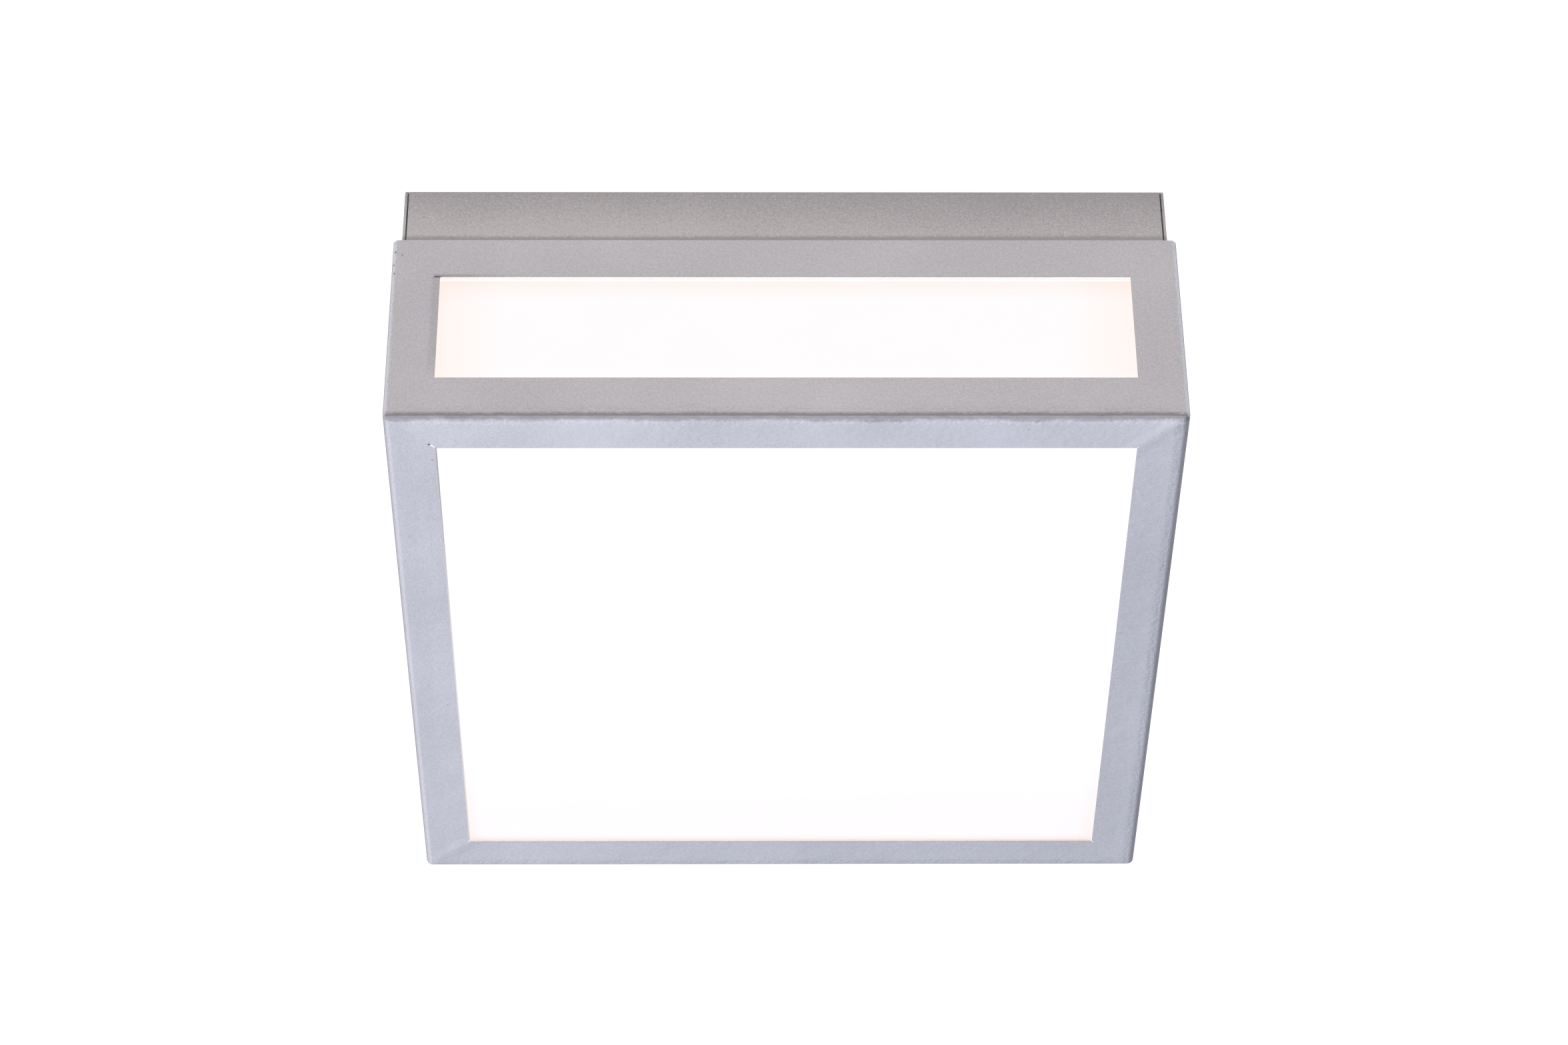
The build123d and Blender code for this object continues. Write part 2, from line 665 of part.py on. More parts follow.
def terminal_block():
    """Moulded three-pole block with a screw well over each clamping screw."""
    width, height, depth = TERMINAL_SIZE
    block = slab(width, height, SHEET, SHEET + depth, 0, TERMINAL_Y)
    block = chamfer(block.edges().filter_by(Axis.Y).sort_by(Axis.Z)[-2:], 1.5)
    for x in POLES:
        block -= slab(6.0, 12.0, CLAMP_LOW, CLAMP_HIGH, x, TERMINAL_Y)
        block -= wire_passage(x)
        for y in (-CLAMP_OFFSET, CLAMP_OFFSET):
            block -= post(2.0, UPPER_WIRES, SHEET + depth + CUT, x, TERMINAL_Y + y)
    for x in (-POLE_SPACING / 2, POLE_SPACING / 2):
        block -= slab(1.2, height + CUT, 9.0, SHEET + depth + CUT, x, TERMINAL_Y)
    return block


def terminal_clamps():
    """Brass clamps, one in each pole."""
    tapped = M3_RADIUS + THREAD_CLEARANCE
    clamps = []
    for x in POLES:
        clamp = slab(5.8, 11.8, CLAMP_LOW + 0.1, CLAMP_HIGH - 0.1, x, TERMINAL_Y) - wire_passage(x)
        for y in (-CLAMP_OFFSET, CLAMP_OFFSET):
            clamp -= post(tapped, UPPER_WIRES, CLAMP_HIGH + CUT, x, TERMINAL_Y + y)
        clamps.append(clamp)
    return union(clamps)


def terminal_screws():
    """Two clamping screws in each pole, slotted, pressing on the upper wire."""
    low, high = UPPER_WIRES + WIRE_RADIUS + 0.1, 12.4
    screws = []
    for x in POLES:
        for y in (-CLAMP_OFFSET, CLAMP_OFFSET):
            screw = post(M3_RADIUS, low, high, x, TERMINAL_Y + y)
            screws.append(screw - slab(4.0, 0.6, high - 0.7, high + 1, x, TERMINAL_Y + y))
    return union(screws)


def earth_stud():
    """M4 stud welded to the back plate."""
    return post(SCREW_RADIUS, SHEET, STUD_TOP, EARTH_X, EARTH_Y)


def earth_nuts():
    """The two nuts that clamp the earth lug on its stud."""
    bore = post(SCREW_RADIUS + THREAD_CLEARANCE, 0, STUD_TOP, EARTH_X, EARTH_Y)
    return union(
        hex_post(NUT_FLATS, low, low + NUT_THICKNESS, EARTH_X, EARTH_Y) - bore
        for low in (SHEET, LUG_LOW + LUG_SHEET)
    )


def earth_lug():
    """Ring lug with a crimped barrel towards the terminal block."""
    low, high = LUG_LOW, LUG_LOW + LUG_SHEET
    lug = post(4.2, low, high, EARTH_X, EARTH_Y)
    lug += slab(6.0, 3.0, low, high, EARTH_X - 6.0, EARTH_Y)
    lug += slab(1.5, 2.4, low, LOWER_WIRES, EARTH_X - 8.6, EARTH_Y)
    barrel = Cylinder(1.9, LUG_BARREL, align=ON_BASE)
    barrel -= Cylinder(WIRE_RADIUS + 0.1, 2 * (LUG_BARREL - 1.5))
    lug += laid_along_x(barrel, EARTH_X - 14.0, EARTH_Y, LOWER_WIRES)
    return lug - post(SCREW_RADIUS + 0.2, 0, STUD_TOP, EARTH_X, EARTH_Y)


def wire(points, radii):
    """An insulated wire along straight runs joined by tangent arcs, one radius for each corner."""
    path = FilletPolyline(*points, radius=radii)
    section = Plane(origin=path @ 0, z_dir=path % 0) * Circle(WIRE_RADIUS)
    return sweep(section, path=path)


def wires():
    """Live and neutral to each lampholder, and the earth wire."""
    clamp_y = TERMINAL_Y - 4.0
    across, out = WIRE_ENTRY
    riser = WIRE_HOLE_X
    end = HOLDER_REAR + 4.0
    live_y, neutral_y = LAMP_OFFSET + across, LAMP_OFFSET - across
    live_z, neutral_z = LAMP_HEIGHT + out, LAMP_HEIGHT - out
    live_x, neutral_x = POLES[0], POLES[2]
    made = {}
    made["wire_live_upper"] = wire(
        [
            (live_x, clamp_y, UPPER_WIRES),
            (live_x, -56.0, UPPER_WIRES),
            (riser + across, -56.0, UPPER_WIRES),
            (riser + across, live_y, UPPER_WIRES),
            (riser + across, live_y, live_z),
            (end, live_y, live_z),
        ],
        [8.0, 14.0, 6.0, 9.0],
    )
    made["wire_neutral_upper"] = wire(
        [
            (neutral_x, clamp_y, UPPER_WIRES),
            (neutral_x, -61.0, UPPER_WIRES),
            (riser - across, -61.0, UPPER_WIRES),
            (riser - across, neutral_y, UPPER_WIRES),
            (riser - across, neutral_y, neutral_z),
            (end, neutral_y, neutral_z),
        ],
        [8.0, 14.0, 6.0, 9.0],
    )
    made["wire_live_lower"] = wire(
        [
            (live_x, clamp_y, LOWER_WIRES),
            (live_x, -live_y, LOWER_WIRES),
            (-riser - across, -live_y, LOWER_WIRES),
            (-riser - across, -live_y, live_z),
            (-end, -live_y, live_z),
        ],
        [8.0, 6.0, 9.0],
    )
    made["wire_neutral_lower"] = wire(
        [
            (neutral_x, clamp_y, LOWER_WIRES),
            (neutral_x, -neutral_y, LOWER_WIRES),
            (-riser + across, -neutral_y, LOWER_WIRES),
            (-riser + across, -neutral_y, neutral_z),
            (-end, -neutral_y, neutral_z),
        ],
        [5.0, 6.0, 9.0],
    )
    made["wire_earth"] = wire(
        [
            (0, TERMINAL_Y + 4.0, LOWER_WIRES),
            (0, EARTH_Y, LOWER_WIRES),
            (EARTH_X - 10.0, EARTH_Y, LOWER_WIRES),
        ],
        [8.0],
    )
    return made


# ---- Assembly ----
def nodes():
    """Every piece by its node name, in the wall frame."""
    made = {
        "wall_tray": wall_tray(),
        "foam_seal": seal(),
        "cable_grommet": cable_grommet(),
        "reflector": reflector(),
        "reflector_pillars": standoffs(),
        "reflector_screws": reflector_screws(),
        "wire_grommets": wire_grommets(),
        "bracket_screws": bracket_screws(),
        "bracket_nuts": bracket_nuts(),
        "holder_screws": holder_screws(),
        "terminal_block": terminal_block(),
        "terminal_clamps": terminal_clamps(),
        "terminal_screws": terminal_screws(),
        "earth_stud": earth_stud(),
        "earth_nuts": earth_nuts(),
        "earth_lug": earth_lug(),
        "opal_tub": diffuser(),
        "silicone_bead": silicone_bead(),
        "rivet_nut_right": rivet_nut(),
        "rivet_nut_left": half_turn(rivet_nut()),
        "cover_screw_right": cover_screw(),
        "cover_screw_left": half_turn(cover_screw()),
    }
    made.update(frame_sides())
    made.update(wires())
    pairs = {
        "bracket": bracket(),
        "lampholder": lay_upper(holder_body()),
        "lampholder_shell": lay_upper(holder_shell()),
        "lampholder_contact": lay_upper(holder_contact()),
    }
    pairs.update({f"lamp_{name}": lay_lamp(make()) for name, make in LAMP_PIECES.items()})
    for name, piece in pairs.items():
        made[f"{name}_upper"] = piece
        made[f"{name}_lower"] = half_turn(piece)
    return made


def write_nodes():
    """Turns each piece so that the wall is behind it, +Y into the wall and +Z up, and writes it."""
    os.makedirs("parts", exist_ok=True)
    for name, piece in nodes().items():
        export_step(Rot(90, 0, 0) * piece, f"parts/{name}.step")


write_nodes()
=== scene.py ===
# Square outdoor wall lantern: its finishes, finer pieces, light and camera, around the packed
# frame. Metres throughout, in the frame's own axes: X right, +Y into the wall, +Z up, origin on
# the wall.
import json
import math

import bmesh
import bpy
from mathutils import Matrix, Vector, noise


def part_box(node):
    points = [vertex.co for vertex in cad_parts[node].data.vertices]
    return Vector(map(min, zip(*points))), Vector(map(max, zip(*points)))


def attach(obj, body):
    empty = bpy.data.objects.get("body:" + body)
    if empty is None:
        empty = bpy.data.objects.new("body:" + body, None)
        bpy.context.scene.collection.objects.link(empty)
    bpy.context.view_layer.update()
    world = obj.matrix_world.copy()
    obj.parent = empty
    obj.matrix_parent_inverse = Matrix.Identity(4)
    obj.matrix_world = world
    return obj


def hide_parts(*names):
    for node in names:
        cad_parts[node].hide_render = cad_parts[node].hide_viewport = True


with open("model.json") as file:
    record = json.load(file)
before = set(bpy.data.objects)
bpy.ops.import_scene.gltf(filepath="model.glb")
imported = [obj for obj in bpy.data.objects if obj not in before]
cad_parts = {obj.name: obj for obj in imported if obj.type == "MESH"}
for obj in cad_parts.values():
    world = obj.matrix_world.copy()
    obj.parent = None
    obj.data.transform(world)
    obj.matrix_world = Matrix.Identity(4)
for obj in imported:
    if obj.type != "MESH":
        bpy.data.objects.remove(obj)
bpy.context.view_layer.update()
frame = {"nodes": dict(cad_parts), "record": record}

# ---- Places taken from the frame ----
MM = 0.001
TOP_LOW, TOP_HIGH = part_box("frame_side_top")
HALF_WIDTH = TOP_HIGH.z                  # outside of the box frame
WIDTH = 2 * HALF_WIDTH
WINDOW_HALF = TOP_LOW.z                  # edge of the front window
FRONT, BACK = TOP_LOW.y, TOP_HIGH.y      # the frame's front face and back edge
BORDER = HALF_WIDTH - WINDOW_HALF
SIDE_WINDOW_FRONT = FRONT + BORDER
SIDE_WINDOW_BACK = BACK - BORDER
TUB_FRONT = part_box("opal_tub")[0].y      # the opal's front face


# ---- Node trees ----
class Graph:
    """A material's node tree, written as short calls that hand sockets to each other."""

    def __init__(self, name, material=True):
        if material:
            self.owner = bpy.data.materials.new(name)
        else:
            self.owner = bpy.data.worlds.new(name)
        self.owner.use_nodes = True
        self.tree = self.owner.node_tree
        self.tree.nodes.clear()
        coordinates = self.add("ShaderNodeTexCoord")
        self.place = coordinates.outputs["Object" if material else "Generated"]
        parts = self.add("ShaderNodeSeparateXYZ", {"Vector": self.place})
        self.x, self.y, self.z = parts.outputs

    def add(self, kind, inputs=None, **settings):
        node = self.tree.nodes.new(kind)
        for key, value in settings.items():
            setattr(node, key, value)
        for key, value in (inputs or {}).items():
            if isinstance(value, bpy.types.NodeSocket):
                self.tree.links.new(value, node.inputs[key])
            else:
                node.inputs[key].default_value = value
        return node

    def math(self, operation, first, second=0.0, clamp=False):
        values = {0: first, 1: second}
        node = self.add("ShaderNodeMath", values, operation=operation, use_clamp=clamp)
        return node.outputs[0]

    def total(self, *terms):
        result = terms[0]
        for term in terms[1:]:
            result = self.math("ADD", result, term)
        return result

    def product(self, *terms):
        result = terms[0]
        for term in terms[1:]:
            result = self.math("MULTIPLY", result, term)
        return result

    def between(self, value, low, high, start=0.0, end=1.0):
        """value from low to high becomes start to end, eased and clamped."""
        return self.ramp(value, low, high, start, end, "SMOOTHSTEP")

    def spread(self, value, low, high, start=0.0, end=1.0):
        """value from low to high becomes start to end, straight and clamped."""
        return self.ramp(value, low, high, start, end, "LINEAR")

    def ramp(self, value, low, high, start, end, interpolation):
        values = {
            "Value": value,
            "From Min": low,
            "From Max": high,
            "To Min": start,
            "To Max": end,
        }
        node = self.add("ShaderNodeMapRange", values, interpolation_type=interpolation)
        return node.outputs[0]

    def noise(self, size, detail=2.0, roughness=0.5, place=None):
        values = {
            "Vector": place or self.place,
            "Scale": 1 / size,
            "Detail": detail,
            "Roughness": roughness,
        }
        return self.add("ShaderNodeTexNoise", values).outputs["Fac"]

    def cells(self, size, output="Distance"):
        values = {"Vector": self.place, "Scale": 1 / size}
        return self.add("ShaderNodeTexVoronoi", values).outputs[output]

    def stretched(self, x, y, z):
        """The place, scaled along each axis."""
        values = {0: self.place, 1: (x, y, z)}
        return self.add("ShaderNodeVectorMath", values, operation="MULTIPLY").outputs[0]

    def mix(self, factor, first, second):
        node = self.add("ShaderNodeMix", data_type="RGBA")
        values = {"Factor_Float": factor, "A_Color": first, "B_Color": second}
        for name, value in values.items():
            socket = next(s for s in node.inputs if s.identifier == name)
            if isinstance(value, bpy.types.NodeSocket):
                self.tree.links.new(value, socket)
            elif name == "Factor_Float":
                socket.default_value = value
            else:
                socket.default_value = (*value, 1.0)
        return next(s for s in node.outputs if s.identifier == "Result_Color")

    def bump(self, height, distance, strength=1.0, under=None):
        values = {"Height": height, "Distance": distance, "Strength": strength}
        if under:
            values["Normal"] = under
        return self.add("ShaderNodeBump", values).outputs[0]

    def finish(self, **inputs):
        """Ends the tree in one principled shader. Underscores in the names stand for spaces."""
        values = {name.replace("_", " "): value for name, value in inputs.items()}
        for name, value in values.items():
            if isinstance(value, tuple) and len(value) == 3:
                values[name] = (*value, 1.0)
        shader = self.add("ShaderNodeBsdfPrincipled", values)
        self.add("ShaderNodeOutputMaterial", {"Surface": shader.outputs[0]})
        return self.owner


# ---- Finishes ----
def specks(g, size, share, radius):
    """Small round spots in a share of the cells, radius as a share of the cell's size."""
    colour = g.cells(size, "Color")
    chance = g.add("ShaderNodeSeparateColor", {"Color": colour}).outputs[0]
    chosen = g.math("LESS_THAN", chance, share)
    inside = g.between(g.cells(size), radius, 0.4 * radius)
    return g.product(chosen, inside)


def spot(g, centre, radius):
    """1 within half the radius of a point, falling to 0 at the radius."""
    away = g.add("ShaderNodeVectorMath", {0: g.place, 1: centre}, operation="DISTANCE")
    return g.between(away.outputs["Value"], radius, 0.5 * radius)


def distance(g, value, place=0.0):
    """How far a coordinate is from a place, to either side."""
    return g.math("ABSOLUTE", g.math("SUBTRACT", value, place))


def wander(g, size, amount, detail=1.0):
    """An uneven shift, at most half the amount to either side, that makes a boundary ragged."""
    return g.product(g.math("SUBTRACT", g.noise(size, detail=detail), 0.5), amount)


def front_face(g):
    """1 on the frame's front face and 0 on its sides."""
    return g.between(g.y, FRONT + 1.5 * MM, FRONT + 0.5 * MM)


def mitre_weld(g):
    """How close a point of the front border is to a mitre: 1 on the weld, 0 at its reach."""
    reach = 6 * MM
    away = distance(g, distance(g, g.x), distance(g, g.z))
    return g.product(g.between(away, reach, 0.0), front_face(g))


def window_dent(g):
    """The top side's sheet pulled in a little along the left end of its window."""
    on_top = g.between(g.z, HALF_WIDTH - 1.0 * MM, HALF_WIDTH - 0.4 * MM)
    along = g.product(
        g.between(g.y, SIDE_WINDOW_BACK + 1.5 * MM, SIDE_WINDOW_BACK - 1.0 * MM),
        g.between(g.y, SIDE_WINDOW_FRONT - 3 * MM, SIDE_WINDOW_FRONT + 8 * MM),
    )
    near_end = g.between(g.x, -WINDOW_HALF - 3.0 * MM, -WINDOW_HALF - 1.0 * MM)
    left_part = g.between(g.x, -WINDOW_HALF + 30 * MM, -WINDOW_HALF)
    return g.product(on_top, along, near_end, left_part)


def powder_coat(name, dark, light, grain_size, grain_depth, roughness, painted_light_tone, extra_marks_and_shade,
                extra_height=None, lit=None):
    """Silver-grey powder coat: fine metallic grain, orange peel, soft patches and a few pits. The
    extras give painted light and shade, dark marks and painted shade, relief in metres and light
    from the opal, place by place."""
    g = Graph(name)
    fine = g.noise(grain_size, detail=2.0, roughness=0.65)
    coarse = g.noise(2.6 * grain_size, detail=1.0)
    patches = g.noise(38 * MM, detail=2.0)
    tone = g.total(g.product(fine, 0.62), g.product(coarse, 0.23), g.product(patches, 0.15))
    tone = g.total(g.spread(tone, 0.36, 0.64), painted_light_tone(g))
    flakes = specks(g, 0.7 * MM, 0.10, 0.3)
    # These marks include painted shade, such as the shade below the frame's front fold.
    marks = g.math("MAXIMUM", specks(g, 2.4 * MM, 0.012, 0.09), extra_marks_and_shade(g))
    flake_colour, mark_and_shade_colour = (0.86, 0.87, 0.9), (0.05, 0.05, 0.05)
    colour = g.mix(tone, dark, light)
    colour = g.mix(g.product(flakes, 0.4), colour, flake_colour)
    colour = g.mix(g.product(marks, 0.85), colour, mark_and_shade_colour)
    gloss = g.spread(fine, 0.3, 0.7, roughness + 0.06, roughness - 0.06)
    peel = g.noise(1.7 * MM, detail=1.0)
    height = g.total(fine, g.product(peel, 0.9), g.product(marks, -3.0))
    normal = g.bump(height, grain_depth)
    if extra_height:
        normal = g.bump(extra_height(g), 1.0, under=normal)
    glow = {}
    if lit:
        unlit, fully_lit = (0.0, 0.0, 0.0), (0.85, 0.75, 0.70)
        glow = {"Emission_Color": g.mix(lit(g), unlit, fully_lit), "Emission_Strength": 1.0}
    return g.finish(Base_Color=colour, Metallic=0.62, Roughness=gloss, Normal=normal, **glow)


def rolled_edges(g):
    """The sheet falls away a little, and unevenly, before it reaches the frame's outer edges."""
    fall, fall_start, fall_end = -0.2 * MM, 4.5 * MM, 0.8 * MM
    from_side = g.math("SUBTRACT", HALF_WIDTH, g.math("ABSOLUTE", g.x))
    from_top = g.math("SUBTRACT", HALF_WIDTH, g.math("ABSOLUTE", g.z))
    from_front = g.math("SUBTRACT", g.y, FRONT)
    ragged = wander(g, 1.1 * MM, 2.0 * MM)
    side_fall, top_fall, front_fall = (
        g.between(g.math("ADD", from_edge, ragged), fall_end, fall_start, fall, 0.0)
        for from_edge in (from_side, from_top, from_front)
    )
    along = g.product(
        g.between(from_side, 1 * MM, 9 * MM, 0.3, 1.0),
        g.spread(g.noise(7 * MM, detail=2.0, roughness=0.7), 0.3, 0.7, 0.7, 1.1),
    )
    left_is_weaker = g.between(g.x, -5 * MM, 5 * MM, 0.05, 1.0)
    fold = g.product(g.total(top_fall, g.product(front_fall, 0.85)), along)
    return g.total(g.product(side_fall, left_is_weaker), fold)


def frame_relief(g):
    """Relief of the frame's sheet in metres: rolled edges, dressed welds, dent and slow waves."""
    weld_height, dent_depth, wave_height = 0.24 * MM, -0.45 * MM, 1.4 * MM
    # The top right and bottom left welds stand out more than the other two.
    one_diagonal = g.between(g.product(g.x, g.z, 1e4), -1.0, 1.0, 0.35, 1.0)
    weld = g.product(mitre_weld(g), one_diagonal, g.noise(9 * MM, detail=1.0), weld_height)
    dent = g.product(window_dent(g), dent_depth)
    waves = g.product(g.noise(70 * MM, detail=1.0), wave_height)
    return g.total(rolled_edges(g), weld, dent, waves)


def frame_painted_light(g):
    """Painted light and shade: the paint is brighter on the top side's front flange, along the
    middle of the side faces' front borders and on the front fold, and a rough painted shade darkens
    the dent."""
    on_front = front_face(g)
    above_mitre = g.math("SUBTRACT", g.z, g.math("ABSOLUTE", g.x))
    # Painted light: the top side's front flange is brighter, in slow waves.
    top_flange = g.product(g.between(above_mitre, -2 * MM, 3 * MM), on_front)
    waves = g.spread(g.noise(45 * MM, detail=1.0), 0.3, 0.7, 0.15, 0.45)
    along = g.math("MINIMUM", g.math("ABSOLUTE", g.x), g.math("ABSOLUTE", g.z))
    # Painted light along the middle of the side faces' front borders.
    front_border = g.product(
        g.between(g.y, FRONT + 18 * MM, FRONT + 12 * MM), g.math("SUBTRACT", 1.0, on_front)
    )
    middle = g.product(front_border, g.between(along, 85 * MM, 15 * MM), 0.2)
    # Painted shade, rough and dark, in the dent.
    dent_painted_shade = g.product(window_dent(g), g.noise(0.9 * MM, detail=2.0), -0.7)
    # Painted highlight along the front fold, with a ragged edge.
    ragged = wander(g, 1.2 * MM, 2.4 * MM, detail=2.0)
    fold = g.product(
        g.between(g.z, HALF_WIDTH - 1.6 * MM, HALF_WIDTH - 0.6 * MM),
        g.between(g.math("ADD", g.y, ragged), FRONT + 1.6 * MM, FRONT + 0.7 * MM),
        1.1,
    )
    return g.total(g.product(top_flange, waves), middle, dent_painted_shade, fold)


def window_edges(g):
    """How much the lit opal brightens the sheet's cut edges in the side windows, in the front
    window and in the open ends of its welds."""
    side_share, front_share, slit_share = 0.72, 0.5, 1.0
    margin = 0.3 * MM
    across_x, across_z = g.math("ABSOLUTE", g.x), g.math("ABSOLUTE", g.z)
    far, near = g.math("MAXIMUM", across_x, across_z), g.math("MINIMUM", across_x, across_z)
    side = g.product(
        g.between(far, HALF_WIDTH, HALF_WIDTH - 0.2 * MM),
        g.math("LESS_THAN", near, WINDOW_HALF + margin),
        g.math("GREATER_THAN", g.y, SIDE_WINDOW_FRONT - margin),
        g.math("LESS_THAN", g.y, SIDE_WINDOW_BACK + margin),
        side_share,
    )
    slit_start, slit_end = WINDOW_HALF + 0.1 * MM, WINDOW_HALF + 2.4 * MM
    front = g.product(
        g.between(g.y, FRONT + 0.1 * MM, FRONT + 0.35 * MM),
        g.math("LESS_THAN", far, slit_end),
        g.between(far, slit_start, slit_start + margin, front_share, slit_share),
    )
    return g.math("MAXIMUM", side, front)


def frame_pits(g):
    """Pits by the top side's back left corner and front window, and an unfilled weld end."""
    left = -HALF_WIDTH + 1.0 * MM
    top = HALF_WIDTH - 0.3 * MM
    pits = (
        ((left, BACK - 4.8 * MM, top), 0.45 * MM),
        ((left - 0.3 * MM, BACK - 9.9 * MM, top - 0.2 * MM), 0.4 * MM),
        ((left, BACK - 13.5 * MM, top), 0.4 * MM),
        ((left + 2.2 * MM, BACK - 6.2 * MM, HALF_WIDTH), 0.25 * MM),
        ((-WINDOW_HALF - 1.2 * MM, FRONT, WINDOW_HALF - 5.5 * MM), 0.25 * MM),
    )
    weld_end = ((-WINDOW_HALF - 1.75 * MM, FRONT, WINDOW_HALF + 1.75 * MM), 0.5 * MM)
    return g.total(*(spot(g, centre, radius) for centre, radius in (*pits, weld_end)))


def top_window_lines(g):
    """Dark lines at the top side window's back edge: a faint one along it, and the tool's overcut
    past its left end."""
    from_edge = distance(g, g.y, SIDE_WINDOW_BACK)
    overcut = g.product(
        g.between(from_edge, 0.3 * MM, 0.1 * MM),
        g.between(distance(g, g.x, -WINDOW_HALF - 0.6 * MM), 1.3 * MM, 0.9 * MM),
        g.between(g.z, HALF_WIDTH - 0.5 * MM, HALF_WIDTH - 0.2 * MM),
    )
    edge = g.product(
        g.between(from_edge, 0.25 * MM, 0.1 * MM),
        g.math("LESS_THAN", g.math("ABSOLUTE", g.x), WINDOW_HALF),
        g.math("GREATER_THAN", g.z, HALF_WIDTH - 0.1 * MM),
        0.24,
    )
    return g.math("MAXIMUM", overcut, edge)


def fold_shade(g):
    """Uneven shade on the front face, just below its fold to the top side."""
    below_fold = g.math("SUBTRACT", HALF_WIDTH, g.z)
    ragged = wander(g, 1.3 * MM, 1.6 * MM, detail=2.0)
    slow = wander(g, 14 * MM, 3.0 * MM)
    return g.product(
        g.between(g.total(below_fold, ragged, slow), 2.9 * MM, 1.2 * MM),
        g.between(below_fold, 0.2 * MM, 1.0 * MM),
        g.between(g.y, FRONT + 0.7 * MM, FRONT + 0.3 * MM),
        0.46,
    )


def frame_marks_and_shade(g):
    """All of the frame's dark marks, and the painted shade below the front fold."""
    marks = g.math("MAXIMUM", frame_pits(g), fold_shade(g))
    return g.math("MAXIMUM", marks, top_window_lines(g))


def tray_painted_light(g):
    """Painted light and shade: the tray's paint is lighter towards the left and towards the frame,
    and a painted shadow of the frame's back edge lies along the joint."""
    # Painted light: lighter towards the left, and darker towards the wall.
    across = g.spread(g.x, -HALF_WIDTH, HALF_WIDTH, 0.30, 0.02)
    outwards = g.spread(g.y, -18 * MM, 0.0, 0.16, -0.62)
    # Painted shadow of the frame's back edge on the tray, with a ragged edge.
    from_frame = g.math("SUBTRACT", g.y, BACK)
    ragged = g.product(g.noise(1.2 * MM, detail=2.0), 1.0 * MM)
    painted_edge_shadow = g.product(
        g.between(g.math("ADD", from_frame, ragged), 5.2 * MM, 2.8 * MM, 0.0, -1.3),
        g.between(from_frame, -3.0 * MM, -0.5 * MM),
    )
    return g.total(across, outwards, painted_edge_shadow)


def tray_marks(g):
    return specks(g, 3.1 * MM, 0.02, 0.07)


def plastic(name, dark, light, roughness, **extra):
    """Moulded plastic with a fine surface texture and slow flow marks."""
    g = Graph(name)
    texture = g.noise(0.6 * MM, detail=2.0)
    flow = g.noise(12 * MM, detail=2.0, place=g.stretched(1.0, 0.35, 1.0))
    tone = g.total(g.product(texture, 0.4), g.product(flow, 0.6))
    colour = g.mix(g.spread(tone, 0.35, 0.65), dark, light)
    gloss = g.spread(flow, 0.3, 0.7, roughness - 0.05, roughness + 0.07)
    normal = g.bump(texture, 0.01 * MM)
    return g.finish(Base_Color=colour, Roughness=gloss, Normal=normal, **extra)


def metal(name, dark, light, roughness, lines=(1.0, 1.0, 1.0)):
    """Bare or plated metal with fine working marks, closer together along an axis where lines is
    larger, and stains."""
    g = Graph(name)
    marks = g.noise(0.5 * MM, detail=2.0, roughness=0.6, place=g.stretched(*lines))
    stains = g.noise(6 * MM, detail=3.0)
    tone = g.total(g.product(marks, 0.5), g.product(stains, 0.5))
    colour = g.mix(g.spread(tone, 0.35, 0.65), dark, light)
    gloss = g.spread(g.total(marks, stains), 0.7, 1.3, roughness - 0.07, roughness + 0.1)
    normal = g.bump(marks, 0.006 * MM)
    return g.finish(Base_Color=colour, Metallic=1.0, Roughness=gloss, Normal=normal)


def rubber(name, dark, light, roughness, pore_size=0.8 * MM, depth=0.04 * MM):
    """Rubber or foam, with pores and a dusty bloom."""
    g = Graph(name)
    pores = g.cells(pore_size)
    bloom = g.noise(9 * MM, detail=3.0)
    colour = g.mix(g.spread(g.product(pores, bloom), 0.05, 0.4), dark, light)
    return g.finish(Base_Color=colour, Roughness=roughness, Normal=g.bump(pores, depth))


def white_enamel(name):
    """Gloss white paint on the reflector, with a faint orange peel."""
    g = Graph(name)
    peel = g.noise(1.4 * MM, detail=1.0)
    patches = g.noise(30 * MM, detail=2.0)
    colour = g.mix(patches, (0.80, 0.80, 0.79), (0.87, 0.87, 0.86))
    gloss = g.spread(peel, 0.3, 0.7, 0.2, 0.3)
    normal = g.bump(peel, 0.02 * MM)
    return g.finish(Base_Color=colour, Roughness=gloss, Coat_Weight=0.3, Normal=normal)


